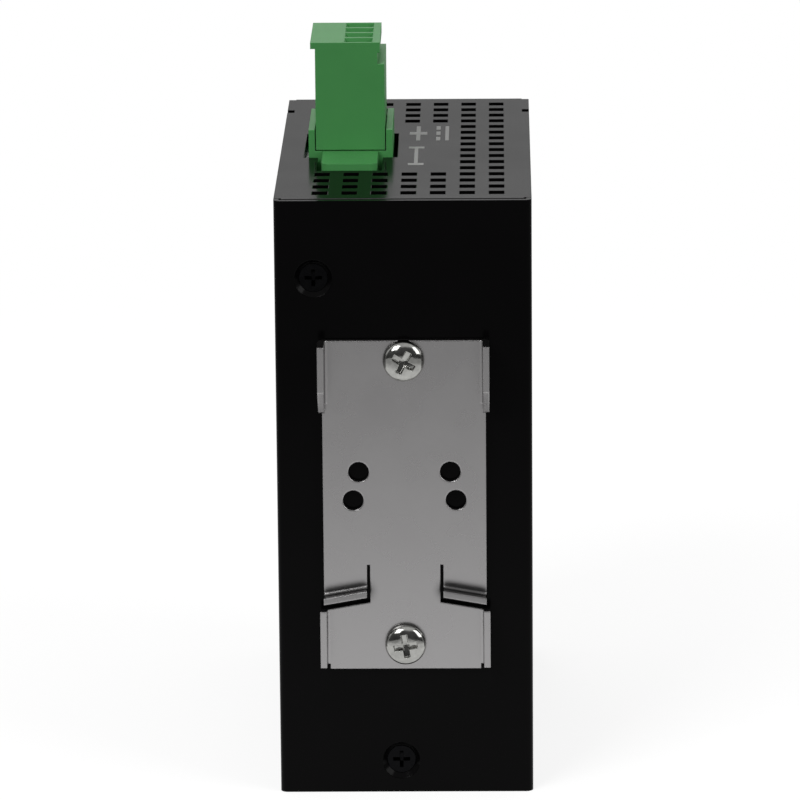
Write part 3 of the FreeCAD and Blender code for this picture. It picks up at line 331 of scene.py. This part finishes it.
def rough_skin(tree, shader, heights, edge_mm):
    """Bumps of several (value, depth in mm) layers over softly rounded edges."""
    edge = tree.nodes.new("ShaderNodeBevel")
    edge.samples = 6
    edge.inputs["Radius"].default_value = edge_mm * MM
    normal = edge.outputs["Normal"]
    for value, depth in heights:
        bump = tree.nodes.new("ShaderNodeBump")
        bump.inputs["Strength"].default_value = 1.0
        bump.inputs["Distance"].default_value = depth * MM
        tree.links.new(value, bump.inputs["Height"])
        tree.links.new(normal, bump.inputs["Normal"])
        normal = bump.outputs["Normal"]
    tree.links.new(normal, shader.inputs["Normal"])


# %% [markdown]
# ## Satin black paint
# Powder paint on steel is nearly black from straight on and turns grey at a glancing angle, as the top does
# here. A low index keeps the face dark while the glancing reflection stays, and a fine orange-peel bump
# breaks it up.

# %% Case paint
def satin_black_paint():
    """Baked paint: dark base, orange peel of 0.6 mm, and slow changes of gloss."""
    material, tree, shader, place = blank_finish("satin_black_paint", specular=0.045)
    cloud = mottle(tree, place, 14.0, 3.0)
    peel = mottle(tree, place, 0.6, 2.0)
    toned(tree, shader, cloud, (0.0010, 0.0009, 0.0010), (0.0020, 0.0018, 0.0020))
    roughened(tree, shader, cloud, 0.13, 0.18)
    rough_skin(tree, shader, [(peel, 0.0012)], 0.25)
    return material


# %% [markdown]
# ## Nickel-plated clip
# The clip is stamped from sheet with a faint rolling grain, then plated. Its tone comes from the metal's
# colour, and the grain only stretches the gloss a little, so the grain's noise is drawn out along one axis.
# Shade is painted into the colour where the two tongues' lips are folded out: the metal is darker
# in those tight folds, more so the more closed in a point is, and only in a band of height there.

# %% Clip plating
# Painted shade in the lips' folds: reach of the open-space test in mm, the share of colour kept where
# darkest, its range, and its band of height in mm.
FOLD_SHADE_REACH = 2.3
FOLD_SHADE_DARKEST = 0.14
FOLD_SHADE_RANGE = (0.70, 1.0)
LIP_SHADE_TOP = (41.8, 43.6)
LIP_SHADE_FOOT = (37.2, 37.8)


def dulled(tree, colour, place):
    """Painted shade: colour taken down in the lips' folds, keep = 1 - (1 - open space) * band, with the band
    in height.
    """
    open_share = tree.nodes.new("ShaderNodeAmbientOcclusion")
    open_share.samples = 12
    open_share.inputs["Distance"].default_value = FOLD_SHADE_REACH * MM
    closed = eased(tree, open_share.outputs["AO"], 1.0 - FOLD_SHADE_DARKEST, 0.0, *FOLD_SHADE_RANGE)
    height = tree.nodes.new("ShaderNodeSeparateXYZ")
    tree.links.new(place, height.inputs[0])
    under = eased(tree, height.outputs["Z"], 1.0, 0.0, *(z * MM for z in LIP_SHADE_TOP))
    over = eased(tree, height.outputs["Z"], 0.0, 1.0, *(z * MM for z in LIP_SHADE_FOOT))
    for share in (under, over):
        closed = combined(tree, "MULTIPLY", closed, share)
    keep = combined(tree, "SUBTRACT", 1.0, closed)
    mix = tree.nodes.new("ShaderNodeMix")
    mix.data_type = "RGBA"
    mix.blend_type = "MULTIPLY"
    mix.inputs["Factor"].default_value = 1.0
    tree.links.new(colour, mix.inputs["A"])
    tree.links.new(keep, mix.inputs["B"])
    return mix.outputs["Result"]


def nickel_plate():
    """Plated sheet: grey metal, upright rolling grain, light stains, and painted shade in its tight folds."""
    material, tree, shader, place = blank_finish("nickel_plate", metallic=1.0)
    grain = mottle(tree, place, 0.35, 2.0, (1.0, 1.0, 0.04))
    stain = mottle(tree, place, 9.0, 4.0)
    plain = two_tones(tree, stain, (0.295, 0.289, 0.290), (0.355, 0.348, 0.350))
    # Painted shade: the lips' folds are darkened in the base colour.
    tree.links.new(dulled(tree, plain, place), shader.inputs["Base Color"])
    roughened(tree, shader, stain, 0.25, 0.31)
    rough_skin(tree, shader, [(grain, 0.0012)], 0.38)
    return material


def bright_plate():
    """Bright plated screw heads: nearly a mirror, with faint handling marks."""
    material, tree, shader, place = blank_finish("bright_plate", metallic=1.0)
    marks = mottle(tree, place, 1.2, 4.0)
    toned(tree, shader, marks, (0.22, 0.22, 0.21), (0.48, 0.48, 0.46))
    roughened(tree, shader, marks, 0.07, 0.16)
    rough_skin(tree, shader, [(marks, 0.03)], 0.08)
    return material


def black_oxide():
    """Blackened screws, a little shinier than the paint around them."""
    material, tree, shader, place = blank_finish("black_oxide", metallic=1.0)
    marks = mottle(tree, place, 0.8, 3.0)
    toned(tree, shader, marks, (0.0035, 0.0035, 0.004), (0.008, 0.008, 0.0085))
    roughened(tree, shader, marks, 0.25, 0.4)
    rough_skin(tree, shader, [(marks, 0.003)], 0.12)
    return material


def zinc_plate():
    """Small turned steel parts with a pale bluish zinc skin."""
    material, tree, shader, place = blank_finish("zinc_plate", metallic=1.0)
    marks = mottle(tree, place, 1.0, 3.0)
    toned(tree, shader, marks, (0.46, 0.47, 0.48), (0.58, 0.59, 0.60))
    roughened(tree, shader, marks, 0.25, 0.4)
    rough_skin(tree, shader, [(marks, 0.003)], 0.1)
    return material


def tinned_sheet():
    """Thin tinned sheet of the port cans and pins."""
    material, tree, shader, place = blank_finish("tinned_sheet", metallic=1.0)
    haze = mottle(tree, place, 2.5, 3.0)
    grain = mottle(tree, place, 0.4, 2.0, (1.0, 0.05, 0.05))
    toned(tree, shader, haze, (0.52, 0.52, 0.51), (0.60, 0.60, 0.585))
    roughened(tree, shader, haze, 0.20, 0.28)
    rough_skin(tree, shader, [(grain, 0.0008)], 0.12)
    return material


def gold_flash():
    """Thin gold on the spring wires of the ports."""
    material, tree, shader, place = blank_finish("gold_flash", metallic=1.0)
    marks = mottle(tree, place, 0.7, 2.0)
    toned(tree, shader, marks, (0.62, 0.42, 0.13), (0.74, 0.53, 0.20))
    roughened(tree, shader, marks, 0.18, 0.3)
    return material


# %% [markdown]
# ## Mouldings
# The plug and its header are moulded nylon: a saturated green with a matte, faintly grained skin. Some
# light goes into the plastic and comes out again, which softens its steps, so it gets a little subsurface
# scatter.

# %% Green nylon and black plastics
def green_nylon():
    """Moulded green nylon: spark-eroded grain of 0.25 mm and slow changes of tone."""
    material, tree, shader, place = blank_finish("green_nylon", specular=0.08)
    cloud = mottle(tree, place, 7.0, 2.0)
    grain = mottle(tree, place, 0.25, 2.0)
    toned(tree, shader, cloud, (0.060, 0.245, 0.073), (0.069, 0.277, 0.082))
    roughened(tree, shader, grain, 0.36, 0.46)
    shader.inputs["Subsurface Weight"].default_value = 0.08
    shader.inputs["Subsurface Radius"].default_value = (0.4, 1.0, 0.4)
    shader.inputs["Subsurface Scale"].default_value = 0.6 * MM
    rough_skin(tree, shader, [(grain, 0.003)], 0.18)
    return material


def black_moulding(name, tone, roughness):
    """Black moulded plastic with a fine skin."""
    material, tree, shader, place = blank_finish(name, specular=0.4)
    grain = mottle(tree, place, 0.3, 2.0)
    toned(tree, shader, grain, (tone, tone, tone), (tone * 1.5, tone * 1.5, tone * 1.5))
    roughened(tree, shader, grain, roughness, roughness + 0.1)
    rough_skin(tree, shader, [(grain, 0.002)], 0.1)
    return material


def lens(name, colour):
    """Tinted clear lens of a lamp that is switched off."""
    material, tree, shader, place = blank_finish(name)
    haze = mottle(tree, place, 0.8, 2.0)
    dim = tuple(c * 0.7 for c in colour)
    toned(tree, shader, haze, dim, colour)
    roughened(tree, shader, haze, 0.08, 0.16)
    shader.inputs["Transmission Weight"].default_value = 0.35
    return material


def solder_mask():
    """Green board with a gloss coat over a faint glass weave."""
    material, tree, shader, place = blank_finish("solder_mask")
    weave = mottle(tree, place, 0.5, 1.0, (1.0, 0.3, 1.0))
    toned(tree, shader, weave, (0.010, 0.085, 0.040), (0.016, 0.12, 0.055))
    roughened(tree, shader, weave, 0.2, 0.3)
    return material


def sleeved_can():
    """Printed sleeve of an electrolytic can, dark blue-grey."""
    material, tree, shader, place = blank_finish("sleeved_can")
    haze = mottle(tree, place, 3.0, 2.0)
    toned(tree, shader, haze, (0.035, 0.045, 0.075), (0.05, 0.06, 0.095))
    roughened(tree, shader, haze, 0.25, 0.35)
    return material


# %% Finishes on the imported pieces
FINISHES = {"case_black": satin_black_paint(), "clip_steel": nickel_plate(), "bright_steel": bright_plate(),
            "black_steel": black_oxide(), "zinc_steel": zinc_plate(), "board_green": solder_mask(),
            "port_tin": tinned_sheet(), "port_black": black_moulding("port_moulding", 0.012, 0.4),
            "contact_gold": gold_flash(), "lamp_green": lens("green_lens", (0.10, 0.42, 0.12)),
            "lamp_amber": lens("amber_lens", (0.55, 0.26, 0.03)), "terminal_green": green_nylon(),
            "part_black": black_moulding("component_moulding", 0.016, 0.35),
            "sink_black": black_moulding("anodised_sink", 0.02, 0.3), "can_aluminium": sleeved_can()}
for part in frame["record"]["subparts"]:
    piece = NODES[part["node"]]
    piece.data.materials.clear()
    piece.data.materials.append(FINISHES[part["material_slot"]])

# %% [markdown]
# ## Mesh helpers
# The pieces below are surfaces on a grid: whole arrays of points are worked out at once, and the faces
# follow from the grid's rows and columns. A closed piece starts and ends in a point on its own axis.

# %% Grid surfaces and flat ink
def piece_from(name, points, faces, slot, body, smooth=True):
    """Mesh object in the row frame, with its material slot and the body it rides on."""
    mesh = bpy.data.meshes.new(name)
    mesh.from_pydata(np.asarray(points).reshape(-1, 3).tolist(), [], faces)
    mesh.polygons.foreach_set("use_smooth", np.full(len(mesh.polygons), smooth))
    piece = bpy.data.objects.new(name, mesh)
    bpy.context.scene.collection.objects.link(piece)
    mesh.materials.append(FINISHES[slot])
    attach(piece, body)
    return piece


def turned_faces(rows, columns, first):
    """Quads between neighbouring rings of a turned piece, and a fan at each end around its two poles."""
    row, column = np.meshgrid(np.arange(rows - 1), np.arange(columns), indexing="ij")
    here = first + row * columns + column
    beside = first + row * columns + (column + 1) % columns
    quads = np.stack([here, here + columns, beside + columns, beside], axis=-1).reshape(-1, 4)
    ring = np.arange(columns)
    after = (ring + 1) % columns
    top = np.stack([np.full(columns, first + rows * columns), first + ring, first + after], axis=-1)
    last = first + (rows - 1) * columns
    foot = np.stack([np.full(columns, first + rows * columns + 1), last + after, last + ring], axis=-1)
    return quads.tolist() + top.tolist() + foot.tolist()


print("helpers ready")

# %% [markdown]
# ## Clip screws
# A pan-head screw has a low crown with a rounded rim, and a cross recess that gets deeper towards its
# middle. In the solids the crown is three cones. Here it is one smooth surface: every point of the crown
# has a radius and an angle, its height follows a flattened ellipse, and the recess is taken off where a
# point lies inside either arm of the cross. The rows crowd together across the recess so that its walls
# stay steep.

# %% Crowned screws for the clip
HEAD_RADIUS = 3.9
HEAD_RISE = 2.5
SHANK_RADIUS = 1.95
SHANK_LENGTH = 7.0
ARM_LENGTH = 2.25
ARM_HALF = 0.52
ARM_DEPTH = 1.7
ARM_TURN = (math.radians(9.0), math.radians(-28.0))
ARM_SLOPE = 0.55
RIM_SHARE = 0.26
CROWN_POWERS = (2.4, 0.42)
WALL_PLAY = (0.05, 0.09)
END_PLAY = 0.1
FIRST_RING = 0.12
POINT_CHAMFER = 0.4
RIM_FOOT = 0.15
CROSS_ROWS = 46
CROWN_ROWS = 22


def smooth_step(value, start, end):
    """0 before start and 1 after end, with an S curve between them."""
    share = np.clip((value - start) / (end - start), 0.0, 1.0)
    return share * share * (3.0 - 2.0 * share)


def crowned_screw(x, seat, z, turn, columns=160):
    """Points of one screw, head towards +Y. The crown is rim + (1 - rim) * (1 - (r/R)^2.4)^0.42 of the head's
    rise, and the recess is taken off it inside either arm of the cross."""
    angle = np.linspace(0.0, 2.0 * np.pi, columns, endpoint=False)
    radius = np.concatenate([np.linspace(FIRST_RING, ARM_LENGTH + 0.4, CROSS_ROWS),
                             np.linspace(ARM_LENGTH + 0.5, HEAD_RADIUS, CROWN_ROWS)])
    share = np.clip(radius / HEAD_RADIUS, 0.0, 1.0)
    bulge, flatten = CROWN_POWERS
    height = HEAD_RISE * (RIM_SHARE + (1.0 - RIM_SHARE) * (1.0 - share ** bulge) ** flatten)
    wide = radius[:, None] * np.cos(angle + turn)[None, :]
    tall = radius[:, None] * np.sin(angle + turn)[None, :]
    reach = np.maximum(np.abs(wide), np.abs(tall))
    side = np.minimum(np.abs(wide), np.abs(tall))
    arm = ((1.0 - smooth_step(side, ARM_HALF - WALL_PLAY[0], ARM_HALF + WALL_PLAY[1]))
           * (1.0 - smooth_step(reach, ARM_LENGTH - END_PLAY, ARM_LENGTH)))
    depth = ARM_DEPTH * (1.0 - ARM_SLOPE * reach / ARM_LENGTH) * arm
    crown_height = height[:, None] - depth
    neck = np.array([(HEAD_RADIUS, RIM_FOOT * HEAD_RISE), (HEAD_RADIUS, 0.0), (SHANK_RADIUS, 0.0),
                     (SHANK_RADIUS, POINT_CHAMFER - SHANK_LENGTH),
                     (SHANK_RADIUS - POINT_CHAMFER, -SHANK_LENGTH)])
    rings = np.concatenate([radius, neck[:, 0]])
    heights = np.concatenate([crown_height, np.repeat(neck[:, 1:], columns, axis=1)])
    points = np.stack([x + rings[:, None] * np.cos(angle)[None, :] * MM, seat + heights * MM,
                       z + rings[:, None] * np.sin(angle)[None, :] * MM], axis=-1).reshape(-1, 3)
    poles = np.array([(x, seat + (HEAD_RISE - ARM_DEPTH) * MM, z), (x, seat - SHANK_LENGTH * MM, z)])
    return np.concatenate([points, poles]), len(rings), columns


screw_low, screw_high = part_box("clip_screws")
clip_face = screw_high[1] - HEAD_RISE * MM
screw_points, screw_faces = [], []
for height, inward, turn in zip((screw_low[2], screw_high[2]), (1, -1), ARM_TURN):
    middle = height + inward * HEAD_RADIUS * MM
    points, rows, columns = crowned_screw((screw_low[0] + screw_high[0]) / 2, clip_face, middle, turn)
    screw_faces += turned_faces(rows, columns, sum(len(p) for p in screw_points))
    screw_points.append(points)
crowned = piece_from("crowned_clip_screws", np.concatenate(screw_points), screw_faces, "bright_steel",
                     BODY["clip_screws"])
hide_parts("clip_screws")
print("clip screws", len(crowned.data.vertices), "points, from and to mm",
      [round(v / MM, 1) for v in (screw_low[2], screw_high[2])])

# %% [markdown]
# ## Printed marks
# Screen print is a film of ink some hundredths of a millimetre thick. Each mark is a set of thin plates
# that stand a little proud of the paint and never overlap, so nothing flickers. Beside the plug are a plus,
# the two lines of a direct supply, one solid and one dashed, and a plain line with two ends. The front
# carries port numbers, and each lamp has as many short bars over it as its place in the row.

# %% Marks on the top
INK_RISE = 0.03
INK_SINK = 0.02
# Each row is x, y, width and depth of a plate in mm.
PLUS_MARK = [(-2.3, -16.0, 0.8, 13.5), (-3.35, -16.0, 1.3, 2.6), (-1.25, -16.0, 1.3, 2.6)]
SUPPLY_MARK = [(-7.9, -16.0, 0.7, 13.5), (-6.2, -10.9, 0.8, 3.3), (-6.2, -16.0, 0.8, 3.3),
               (-6.2, -21.1, 0.8, 3.3)]
LINE_MARK = [(-2.1, 5.0, 0.7, 13.4), (-2.1, 12.6, 3.0, 1.8), (-2.1, -2.6, 3.0, 1.8)]
TOP_MARKS = PLUS_MARK + SUPPLY_MARK + LINE_MARK


def white_ink():
    """Off-white screen ink: even, matte, a little thinner in places."""
    material, tree, shader, place = blank_finish("white_ink", specular=0.3)
    film = mottle(tree, place, 0.8, 3.0)
    toned(tree, shader, film, (0.20, 0.20, 0.195), (0.27, 0.27, 0.265))
    roughened(tree, shader, film, 0.5, 0.65)
    return material


FINISHES["white_ink"] = white_ink()


def ink_plates(name, plates):
    """One piece of thin plates, each given by its lowest and highest corner, with outward faces."""
    low = np.array([p[0] for p in plates])
    high = np.array([p[1] for p in plates])
    pick = np.array([(i, j, k) for k in (0, 1) for j in (0, 1) for i in (0, 1)], dtype=bool)
    points = np.where(pick[None], high[:, None], low[:, None]).reshape(-1, 3)
    box_faces = np.array([(0, 2, 3, 1), (4, 5, 7, 6), (0, 1, 5, 4), (2, 6, 7, 3), (0, 4, 6, 2), (1, 3, 7, 5)])
    faces = (box_faces[None] + 8 * np.arange(len(plates))[:, None, None]).reshape(-1, 4).tolist()
    mesh = bpy.data.meshes.new(name)
    mesh.from_pydata(points.tolist(), [], faces)
    mesh.materials.append(FINISHES["white_ink"])
    piece = bpy.data.objects.new(name, mesh)
    bpy.context.scene.collection.objects.link(piece)
    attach(piece, BODY["chassis"])
    return piece


top_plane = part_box("chassis")[1][2]
marks = [((x - w / 2) * MM, (y - d / 2) * MM, top_plane - INK_SINK * MM, (x + w / 2) * MM, (y + d / 2) * MM,
          top_plane + INK_RISE * MM) for x, y, w, d in TOP_MARKS]
ink_plates("top_marks", [(m[:3], m[3:]) for m in marks])
print("marks on the top", len(marks))

# %% Numbers and bars on the front
NUMBER_HEIGHT = 3.2
NUMBER_GAP = 1.6
DIGIT_SHARE = 0.7
BAR_SIZE = (1.6, 0.5)
BAR_LIFT = 1.0
front_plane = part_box("chassis")[0][1]
port_boxes = [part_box(f"port_{i}_shield") for i in range(1, 6)]


def printed_number(word, x, z):
    """Digit with its right edge at x and its middle at z, standing on the front plane and facing -Y."""
    curve = bpy.data.curves.new("digit", "FONT")
    curve.body = word
    curve.size = NUMBER_HEIGHT * MM / DIGIT_SHARE
    curve.align_x = "RIGHT"
    curve.align_y = "CENTER"
    curve.extrude = (INK_RISE + INK_SINK) / 2 * MM
    holder = bpy.data.objects.new("digit", curve)
    bpy.context.scene.collection.objects.link(holder)
    bpy.context.view_layer.update()
    mesh = bpy.data.meshes.new_from_object(holder.evaluated_get(bpy.context.evaluated_depsgraph_get()))
    bpy.data.objects.remove(holder)
    mesh.transform(Matrix.Translation((x, front_plane - (INK_RISE - INK_SINK) / 2 * MM, z))
                   @ Matrix.Rotation(math.pi / 2, 4, "X"))
    mesh.name = f"number_{word}"
    mesh.materials.clear()
    mesh.materials.append(FINISHES["white_ink"])
    piece = bpy.data.objects.new(f"number_{word}", mesh)
    bpy.context.scene.collection.objects.link(piece)
    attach(piece, BODY["chassis"])
    return piece


for number, (low, high) in enumerate(port_boxes, 1):
    printed_number(str(number), low[0] - NUMBER_GAP * MM, (low[2] + high[2]) / 2)
lamp_bars = []
for number in (1, 2, 3):
    low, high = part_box(f"status_lamp_{number}")
    middle, foot = (low[0] + high[0]) / 2, high[2] + BAR_LIFT * MM
    for count in range(number):
        bottom = foot + count * 2 * BAR_SIZE[1] * MM
        half, top = BAR_SIZE[0] / 2 * MM, bottom + BAR_SIZE[1] * MM
        lamp_bars.append(((middle - half, front_plane - INK_RISE * MM, bottom),
                          (middle + half, front_plane + INK_SINK * MM, top)))
ink_plates("lamp_bars", lamp_bars)
print("numbers", len(port_boxes), "bars", len(lamp_bars))
